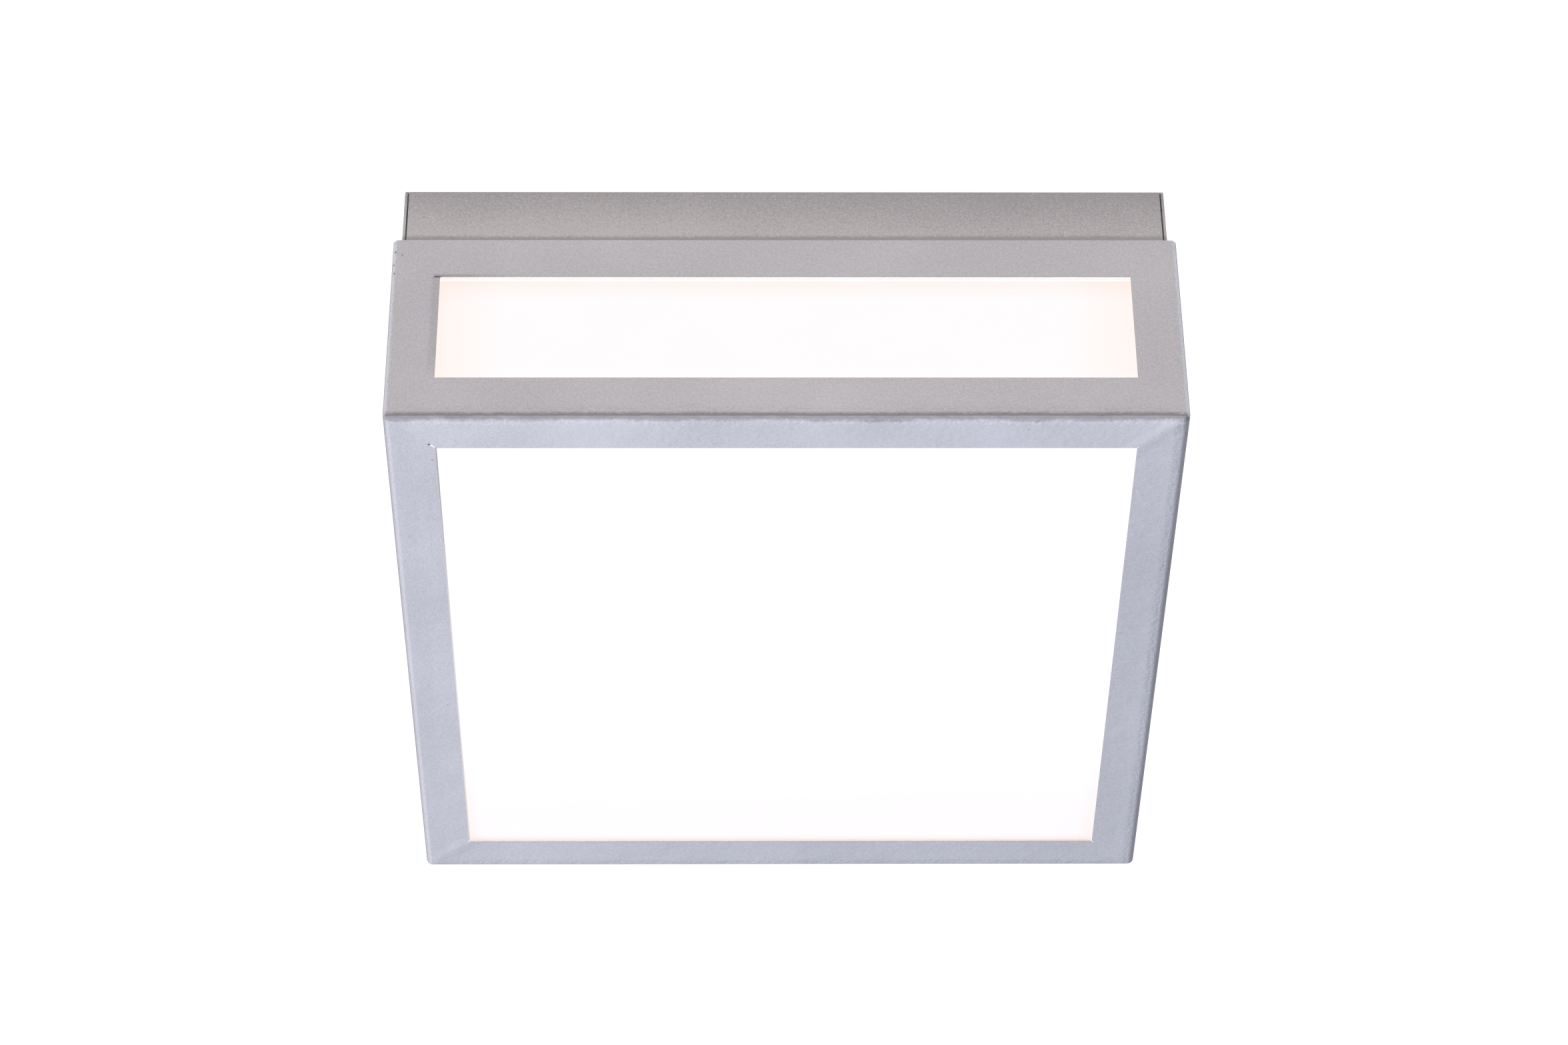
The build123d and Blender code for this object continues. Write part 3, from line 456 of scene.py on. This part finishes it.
def opal_glow(name):
    """Opal acrylic lit from inside: white in the middle of each window, warm where the metal
    shades it."""
    g = Graph(name)
    white, low_white, low_warm = (1.0, 1.0, 1.0), (0.93, 0.905, 0.915), (0.93, 0.80, 0.72)
    side_white, side_warm = (0.97, 0.955, 0.955), (0.97, 0.83, 0.75)
    end_shade = (0.16, 0.12, 0.105)
    across_x, across_z = g.math("ABSOLUTE", g.x), g.math("ABSOLUTE", g.z)
    from_end = g.math("SUBTRACT", WINDOW_HALF, across_x)
    from_side_end = g.math("SUBTRACT", WINDOW_HALF, g.math("MINIMUM", across_x, across_z))
    from_bottom = g.math("SUBTRACT", g.z, -WINDOW_HALF)
    from_back = g.math("SUBTRACT", SIDE_WINDOW_BACK, g.y)
    cloud = g.noise(14 * MM, detail=2.0)
    cloudy = g.spread(cloud, 0.2, 0.8, 0.85, 1.15)

    lower_part = g.between(g.z, -0.2 * WINDOW_HALF, -0.9 * WINDOW_HALF)
    front_warmth = g.total(
        g.product(g.between(from_end, 6 * MM, 0.0), lower_part, 0.55),
        g.between(from_bottom, 3.5 * MM, 0.0, 0.0, 0.75),
        g.product(g.between(from_end, 16 * MM, 0.0), g.between(from_bottom, 20 * MM, 0.0), 0.2),
    )
    front_warmth = g.math("MULTIPLY", front_warmth, cloudy, clamp=True)
    front_glow = g.mix(g.between(from_bottom, 60 * MM, 15 * MM), white, low_white)
    front_glow = g.mix(front_warmth, front_glow, low_warm)
    # The left end's cut edge throws a narrow shade, darker towards the top.
    from_left = g.math("ADD", g.x, WINDOW_HALF)
    shade = g.product(
        g.between(from_left, 0.45 * MM, 0.2 * MM), g.between(g.z, 0.0, WINDOW_HALF, 0.4, 0.95)
    )
    front_glow = g.mix(shade, front_glow, end_shade)

    side_warmth = g.total(
        g.between(from_side_end, 4 * MM, 0.0, 0.0, 0.15),
        g.between(from_side_end, 22 * MM, 0.0, 0.0, 0.45),
        g.between(from_back, 10 * MM, 0.0, 0.0, 0.45),
    )
    side_warmth = g.math("MULTIPLY", side_warmth, cloudy, clamp=True)
    side_glow = g.mix(side_warmth, side_white, side_warm)

    in_front = g.between(g.y, TUB_FRONT + 2.0 * MM, TUB_FRONT + 0.5 * MM)
    strength = g.between(from_back, 0.3 * MM, -0.3 * MM, 0.86, 1.1)
    skin = g.noise(0.35 * MM, detail=1.0)
    return g.finish(
        Base_Color=g.mix(cloud, (0.2, 0.2, 0.2), (0.22, 0.22, 0.22)),
        Roughness=g.spread(skin, 0.3, 0.7, 0.34, 0.42),
        Emission_Color=g.mix(in_front, side_glow, front_glow),
        Emission_Strength=strength,
        Normal=g.bump(skin, 0.006 * MM),
    )


def lamp_glow(name):
    """Opal dome of a lit LED lamp, brighter at its tip than at its rim."""
    g = Graph(name)
    low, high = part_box("lamp_globe_upper")
    strength = g.spread(g.math("ABSOLUTE", g.x), low.x, high.x, 0.5, 0.8)
    cloud = g.noise(9 * MM, detail=2.0)
    glow = g.mix(cloud, (1.0, 0.93, 0.82), (1.0, 0.96, 0.88))
    skin = g.noise(0.4 * MM, detail=1.0)
    return g.finish(
        Base_Color=(0.3, 0.295, 0.285),
        Roughness=g.spread(skin, 0.3, 0.7, 0.3, 0.4),
        Emission_Color=glow,
        Emission_Strength=strength,
        Normal=g.bump(skin, 0.006 * MM),
    )


def led_board(name):
    """White solder mask on the LED board and its chips."""
    g = Graph(name)
    speck = g.noise(0.8 * MM, detail=1.0)
    colour = g.mix(speck, (0.78, 0.78, 0.74), (0.86, 0.85, 0.8))
    gloss = g.spread(speck, 0.3, 0.7, 0.3, 0.45)
    return g.finish(Base_Color=colour, Roughness=gloss, Normal=g.bump(speck, 0.01 * MM))


def earth_stripes(name):
    """Green and yellow insulation, striped round the wire."""
    g = Graph(name)
    repeat = 5.0 * MM
    turn = g.math("FRACT", g.product(g.total(g.x, g.z, g.y), 1 / repeat))
    stripe = g.between(turn, 0.42, 0.5)
    grain = g.noise(0.9 * MM, detail=1.0)
    colour = g.mix(stripe, (0.07, 0.32, 0.06), (0.75, 0.62, 0.04))
    gloss = g.spread(grain, 0.3, 0.7, 0.35, 0.45)
    return g.finish(Base_Color=colour, Roughness=gloss, Normal=g.bump(grain, 0.01 * MM))


# Kind of finish for each slot, then its dark colour, light colour and roughness.
PLAIN_FINISHES = {
    "zinc": (metal, (0.5, 0.5, 0.48), (0.68, 0.68, 0.66), 0.36),
    "stainless": (metal, (0.52, 0.51, 0.49), (0.66, 0.65, 0.63), 0.28, (1.0, 6.0, 1.0)),
    "brass": (metal, (0.62, 0.43, 0.18), (0.8, 0.6, 0.3), 0.3),
    "cap_nickel": (metal, (0.55, 0.54, 0.5), (0.7, 0.69, 0.65), 0.24),
    "cap_glass": (plastic, (0.01, 0.01, 0.012), (0.02, 0.02, 0.025), 0.12),
    "holder_plastic": (plastic, (0.72, 0.70, 0.65), (0.79, 0.77, 0.72), 0.42),
    "terminal_plastic": (plastic, (0.66, 0.64, 0.57), (0.75, 0.73, 0.66), 0.5),
    "lamp_plastic": (plastic, (0.76, 0.76, 0.73), (0.82, 0.82, 0.79), 0.3),
    "wire_brown": (plastic, (0.09, 0.035, 0.014), (0.14, 0.058, 0.024), 0.38),
    "wire_blue": (plastic, (0.02, 0.09, 0.33), (0.035, 0.13, 0.42), 0.38),
    "rubber_black": (rubber, (0.016, 0.016, 0.018), (0.04, 0.04, 0.042), 0.55),
}


def finishes():
    """One material for each of the record's slots."""
    made = {slot: kind(slot, *look) for slot, (kind, *look) in PLAIN_FINISHES.items()}
    made["frame_paint"] = powder_coat(
        "frame_paint", dark=(0.47, 0.47, 0.475), light=(0.67, 0.67, 0.675),
        grain_size=0.30 * MM, grain_depth=0.022 * MM, roughness=0.42,
        painted_light_tone=frame_painted_light, extra_marks_and_shade=frame_marks_and_shade, extra_height=frame_relief, lit=window_edges,
    )
    made["tray_paint"] = powder_coat(
        "tray_paint", dark=(0.388, 0.382, 0.376), light=(0.604, 0.590, 0.581),
        grain_size=0.38 * MM, grain_depth=0.03 * MM, roughness=0.46,
        painted_light_tone=tray_painted_light, extra_marks_and_shade=tray_marks,
    )
    made["foam"] = rubber(
        "foam", (0.012, 0.012, 0.012), (0.045, 0.045, 0.045), 0.85,
        pore_size=0.7 * MM, depth=0.12 * MM,
    )
    # The emission stands for the light that the opal gives the silicone.
    made["silicone"] = plastic(
        "silicone", (0.6, 0.6, 0.58), (0.72, 0.72, 0.7), 0.35,
        Emission_Color=(0.9, 0.8, 0.74), Emission_Strength=0.4,
    )
    made["reflector_paint"] = white_enamel("reflector_paint")
    made["opal"] = opal_glow("opal")
    made["lamp_opal"] = lamp_glow("lamp_opal")
    made["led_board"] = led_board("led_board")
    made["wire_green"] = earth_stripes("wire_green")
    return made


MADE = finishes()
SLOTS = {entry["node"]: entry["material_slot"] for entry in frame["record"]["subparts"]}
BODIES = {
    node: body for body, nodes in frame["record"]["behaviour"]["bodies"].items() for node in nodes
}


def apply_finishes():
    """Gives every CAD node the finish of its slot in the record."""
    for node, slot in SLOTS.items():
        mesh = frame["nodes"][node].data
        mesh.materials.clear()
        mesh.materials.append(MADE[slot])


# ---- Finer pieces, each in place of a CAD node ----
SHARP_ANGLE = math.radians(40)


def stand_in(name, node, skin, placing=None):
    """Makes a piece from (points, faces). It takes the place, body and finish of a CAD node."""
    mesh = bpy.data.meshes.new(name)
    mesh.from_pydata(skin[0], [], skin[1])
    shape = bmesh.new()
    shape.from_mesh(mesh)
    bmesh.ops.recalc_face_normals(shape, faces=shape.faces)
    shape.to_mesh(mesh)
    shape.free()
    if placing:
        mesh.transform(placing)
    mesh.shade_smooth()
    mesh.set_sharp_from_angle(angle=SHARP_ANGLE)
    mesh.materials.append(MADE[SLOTS[node]])
    piece = bpy.data.objects.new(name, mesh)
    bpy.context.scene.collection.objects.link(piece)
    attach(piece, BODIES[node])
    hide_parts(node)


def skin_over(rings, looped):
    """Quads between rings of equally many points. A looped skin's last ring joins its first. Any
    other skin has a face across each end."""
    count = len(rings[0])
    points = [point for ring in rings for point in ring]
    faces = []
    for n in range(len(rings) if looped else len(rings) - 1):
        here, there = n * count, (n + 1) % len(rings) * count
        for i in range(count):
            j = (i + 1) % count
            faces.append((here + i, here + j, there + j, there + i))
    if not looped:
        faces.append(tuple(range(count)))
        faces.append(tuple(range(len(points) - count, len(points))))
    return points, faces


def turned_ring(x, radius, count):
    """Points round the X axis. The radius is a number or a function of the angle."""
    ring = []
    for i in range(count):
        angle = 2 * math.pi * i / count
        reach = radius(angle) if callable(radius) else radius
        ring.append((x, reach * math.cos(angle), reach * math.sin(angle)))
    return ring


def thread_ring(x, pitch, root, crest, count, rolled=False, fade=1.0):
    """One ring of a right-hand thread about the X axis, V-shaped or rolled from sheet."""

    def radius(angle):
        phase = (x / pitch - angle / (2 * math.pi)) % 1.0
        if rolled:
            height = 0.5 - 0.5 * math.cos(2 * math.pi * phase)
        else:
            height = min(1.0, 1.15 * (1 - abs(2 * phase - 1)))
        return root + fade * height * (crest - root)

    return turned_ring(x, radius, count)


def steps(start, end, size):
    """Evenly spaced numbers from start to end, about size apart."""
    count = max(1, round(abs(end - start) / size))
    return [start + (end - start) * n / count for n in range(count + 1)]


def laid_out(node, direction):
    """Lays a piece made about +X from the origin over a node, pointing along +X (1) or -X (-1)."""
    low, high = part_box(node)
    middle = (low + high) / 2
    foot = Vector((low.x if direction > 0 else high.x, middle.y, middle.z))
    turn = 0.0 if direction > 0 else math.pi
    return Matrix.Translation(foot) @ Matrix.Rotation(turn, 4, "Y")


def cover_screw(side, direction):
    """M4 button-head screw with a cut thread and a hexagon socket."""
    node = f"cover_screw_{side}"
    low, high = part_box(node)
    head_radius = (high.y - low.y) / 2
    head_height, rim, radius, root = 2.2 * MM, 0.4 * MM, 2.0 * MM, 1.57 * MM
    socket, socket_depth, pitch, count = 2.5 * MM, 1.4 * MM, 0.7 * MM, 36
    chamfer, thread_end, run_out = 0.45 * MM, 9.3 * MM, 0.2 * MM
    socket_chamfer, socket_flare = 0.15 * MM, 1.1
    top = high.x - low.x
    under_head = top - head_height

    def hexagon(angle):
        from_flat = (angle + math.pi / 6) % (math.pi / 3) - math.pi / 6
        return socket / 2 / math.cos(from_flat)

    thread_places = steps(chamfer, thread_end, pitch / 8)
    rings = [turned_ring(0.0, radius - 0.5 * MM, count)]
    rings += [thread_ring(x, pitch, root, radius, count) for x in thread_places]
    rings += [turned_ring(x, radius, count) for x in (thread_end + run_out, under_head)]
    rings.append(turned_ring(under_head, head_radius, count))
    dome = head_height - rim
    for angle in steps(0.0, math.pi / 2, math.pi / 16):
        x = under_head + rim + dome * math.sin(angle)
        rings.append(turned_ring(x, head_radius - dome + dome * math.cos(angle), count))
    rings.append(turned_ring(top, lambda angle: socket_flare * hexagon(angle), count))
    rings.append(turned_ring(top - socket_chamfer, hexagon, count))
    rings.append(turned_ring(top - socket_depth, hexagon, count))
    skin = skin_over(rings, looped=False)
    stand_in(f"threaded_screw_{side}", node, skin, laid_out(node, direction))


def lamp_cap(place, direction):
    """E27 cap of thin sheet with a rolled thread."""
    node = f"lamp_cap_{place}"
    low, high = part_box(node)
    length, crest = high.x - low.x, (high.y - low.y) / 2
    root, inside, pitch, count = crest - 0.8 * MM, crest - 1.2 * MM, 3.6 * MM, 60
    start, end, shoulder, step_in = 1.6 * MM, length - 1.6 * MM, 1.5 * MM, 0.4 * MM
    before = ((0.0, root - 0.3 * MM), (0.8 * MM, root))
    after = (
        (length - 0.9 * MM, crest),
        (length, crest),
        (length, inside),
        (shoulder, inside),
        (shoulder, inside - step_in),
        (0.0, inside - step_in),
    )
    rings = [turned_ring(x, radius, count) for x, radius in before]
    for x in steps(start, end, pitch / 12):
        fade = min(1.0, (x - start) / pitch, (end - x) / (0.5 * pitch))
        rings.append(thread_ring(x, pitch, root, crest, count, rolled=True, fade=fade))
    rings += [turned_ring(x, radius, count) for x, radius in after]
    skin = skin_over(rings, looped=True)
    stand_in(f"threaded_cap_{place}", node, skin, laid_out(node, direction))


def screw_shell(place, direction):
    """The lampholder's shell, its thread rolled outwards so that the lamp's cap clears it."""
    node = f"lampholder_shell_{place}"
    low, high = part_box(node)
    length, outside = high.x - low.x, (high.y - low.y) / 2
    sheet, pitch, count = 0.35 * MM, 3.6 * MM, 60
    root, crest, rim_inside = outside - 0.15 * MM, outside + 0.35 * MM, outside - 4.5 * MM
    start, end, bottom = 1.5 * MM, length - 1.5 * MM, 0.5 * MM

    def thread(inwards, places):
        low_side, high_side = root - inwards, crest - inwards
        rings = []
        for x in places:
            fade = min(1.0, (x - start) / pitch, (end - x) / pitch)
            rings.append(thread_ring(x, pitch, low_side, high_side, count, rolled=True, fade=fade))
        return rings

    places = steps(start, end, pitch / 10)
    rings = [turned_ring(0.0, rim_inside, count), turned_ring(0.0, root, count)]
    rings += thread(0.0, places)
    rings += [turned_ring(length, root, count), turned_ring(length, root - sheet, count)]
    rings += thread(sheet, places[::-1])
    rings += [turned_ring(bottom, root - sheet, count), turned_ring(bottom, rim_inside, count)]
    skin = skin_over(rings, looped=True)
    stand_in(f"screw_shell_{place}", node, skin, laid_out(node, direction))


def square_ring(half, radius, y):
    """Points round a square with rounded corners, at one distance from the wall. y is a number or a
    function of the place round the square."""
    straight, parts = half - radius, 44
    corner = complex(straight, straight)
    ring = []
    for quarter in range(4):
        places = [complex(half, straight * (2 * n / parts - 1)) for n in range(parts + 1)]
        for angle in steps(0.0, math.pi / 2, math.pi / 12)[1:-1]:
            places.append(corner + radius * complex(math.cos(angle), math.sin(angle)))
        for place in places:
            turned = place * 1j**quarter
            ring.append((turned.real, y(turned) if callable(y) else y, turned.imag))
    return ring


def unevenness(place, size, amount):
    """A smooth, repeatable wander of the given amount, for places a size apart."""
    return amount * noise.noise(Vector((place.real, 0.0, place.imag)) / size)


def foam_seal():
    """Foam ring: the tub's rim presses its outer half flat, and its inner half swells."""
    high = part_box("foam_seal")[1]
    radius, pressed_width, swell = 2.0 * MM, 2.3, 0.14 * MM
    # Distance from the ring's outer edge, and height above the lip, both in millimetres.
    section = (
        (0.0, 0.0), (0.0, 1.75), (0.2, 1.97), (2.2, 1.97), (2.6, 2.1), (3.8, 2.4),
        (5.4, 2.35), (6.5, 2.0), (6.95, 1.3), (7.0, 0.5), (6.75, 0.0),
    )
    rings = []
    for across, height in section:
        free = swell if across > pressed_width and height > 0.0 else 0.0

        def surface(place, height=height, free=free):
            return high.y - height * MM - unevenness(place, 9 * MM, free)

        rings.append(square_ring(high.x - across * MM, radius, surface))
    stand_in("foam_ring", "foam_seal", skin_over(rings, looped=True))


def silicone_bead():
    """Silicone smoothed into the joint between tub and frame, its open face hollow and uneven."""
    low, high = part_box("silicone_bead")
    radius, uneven = 2.0 * MM, 0.12 * MM
    # Distance from the frame's inside, and depth below the joint's mouth, both in millimetres.
    open_face = ((0.05, 0.15), (0.3, 0.5), (0.65, 0.55), (0.95, 0.2))
    rings = []
    for across, depth in open_face:
        def surface(place, depth=depth):
            return high.y - depth * MM - uneven - unevenness(place, 6 * MM, uneven)

        rings.append(square_ring(high.x - across * MM, radius, surface))
    for across in (open_face[-1][0], open_face[0][0]):
        rings.append(square_ring(high.x - across * MM, radius, low.y))
    stand_in("sealant_bead", "silicone_bead", skin_over(rings, looped=True))


def finer_pieces():
    for side, direction in (("left", -1), ("right", 1)):
        cover_screw(side, direction)
    for place, direction in (("upper", 1), ("lower", -1)):
        lamp_cap(place, direction)
        screw_shell(place, direction)
    foam_seal()
    silicone_bead()


# ---- Light, floor and camera ----
# Broad sources of the studio's light: direction from the lantern, colour times strength,
# narrowness.
LIGHTS = (
    ((0.0, 0.62, 0.78), (1.13, 1.05, 1.07), 3.0),       # behind and above
    ((-0.8, 0.6, 0.05), (1.60, 1.60, 1.72), 6.0),       # behind on the left
    ((0.8, 0.6, 0.05), (1.31, 1.40, 1.49), 6.0),        # behind on the right
    ((0.0, -1.0, 0.0), (1.30, 1.27, 1.41), 4.0),        # in front
    ((-0.55, -0.55, -0.63), (1.44, 1.43, 1.54), 4.0),   # in front below, on the left
    ((0.0, -0.64, -0.77), (0.17, 0.22, 0.35), 3.0),     # in front below
    ((-0.55, 0.25, -0.79), (0.42, 0.42, 0.44), 9.0),    # below on the left, behind
    ((0.55, 0.20, -0.81), (0.34, 0.35, 0.38), 9.0),     # below on the right, behind
)
AMBIENT = (0.01, 0.01, 0.01)


def studio_world():
    """Soft light from a few broad sources, dark above the camera. Seen directly, it is white."""
    g = Graph("studio", material=False)
    light = g.add("ShaderNodeCombineXYZ", dict(zip("XYZ", AMBIENT))).outputs[0]
    for direction, colour, narrowness in LIGHTS:
        values = {0: g.place, 1: Vector(direction).normalized()}
        facing = g.add("ShaderNodeVectorMath", values, operation="DOT_PRODUCT").outputs["Value"]
        amount = g.math("POWER", g.math("MAXIMUM", facing, 0.0), narrowness)
        lobe = g.add("ShaderNodeVectorMath", {0: colour, "Scale": amount}, operation="SCALE")
        both = g.add("ShaderNodeVectorMath", {0: light, 1: lobe.outputs[0]}, operation="ADD")
        light = both.outputs[0]
    seen = g.add("ShaderNodeLightPath").outputs["Is Camera Ray"]
    colour = g.mix(seen, light, (1.0, 1.0, 1.0))
    background = g.add("ShaderNodeBackground", {"Color": colour})
    g.add("ShaderNodeOutputWorld", {"Surface": background.outputs[0]})
    bpy.context.scene.world = g.owner


def floor():
    """A wide, pale floor far below the lantern. A little glow keeps it as white as the photo's."""
    half, drop, patch_size = 30.0, 1.3, 0.4
    corners = [
        (-half, -half, -drop), (half, -half, -drop), (half, half, -drop), (-half, half, -drop)
    ]
    mesh = bpy.data.meshes.new("floor")
    mesh.from_pydata(corners, [], [(0, 1, 2, 3)])
    g = Graph("floor")
    tone = g.mix(g.noise(patch_size, detail=2.0), (0.86, 0.86, 0.86), (0.88, 0.88, 0.88))
    glow = {"Emission_Color": (1.0, 1.0, 1.0), "Emission_Strength": 0.75}
    mesh.materials.append(g.finish(Base_Color=tone, Roughness=0.9, **glow))
    plane = bpy.data.objects.new("floor", mesh)
    bpy.context.scene.collection.objects.link(plane)
    plane.visible_glossy = False
    plane.visible_diffuse = False


ELEVATION = math.radians(51.79)
YAW = math.radians(1.08)
ROLL = math.radians(0.83)
LENS, SENSOR = 99.34, 36.0               # millimetres
# In lantern widths: how far the camera is from its aim, and where it aims.
DISTANCE, AIM_OUT, AIM_RIGHT, AIM_UP = 5.852, 0.2, 0.0022, 0.0306


def camera():
    """Looks down at the lantern's front and top from 52 degrees above the horizontal."""
    level_part = math.cos(ELEVATION)
    forward = Vector(
        (math.sin(YAW) * level_part, math.cos(YAW) * level_part, -math.sin(ELEVATION))
    )
    level = forward.cross(Vector((0, 0, 1))).normalized()
    upright = level.cross(forward)
    right = math.cos(ROLL) * level + math.sin(ROLL) * upright
    up = math.cos(ROLL) * upright - math.sin(ROLL) * level
    aim = WIDTH * (Vector((0, -AIM_OUT, 0)) + AIM_RIGHT * right + AIM_UP * up)
    place = aim - DISTANCE * WIDTH * forward

    data = bpy.data.cameras.new("camera")
    data.lens = LENS
    data.sensor_width = SENSOR
    data.clip_start = 0.01
    data.clip_end = 100.0
    eye = bpy.data.objects.new("camera", data)
    axes = Matrix((right, up, -forward)).transposed().to_4x4()
    eye.matrix_world = Matrix.Translation(place) @ axes
    bpy.context.scene.collection.objects.link(eye)
    bpy.context.scene.camera = eye


# ---- Making the scene ----
apply_finishes()
finer_pieces()
studio_world()
floor()
camera()
bpy.context.scene.view_settings.view_transform = "Standard"
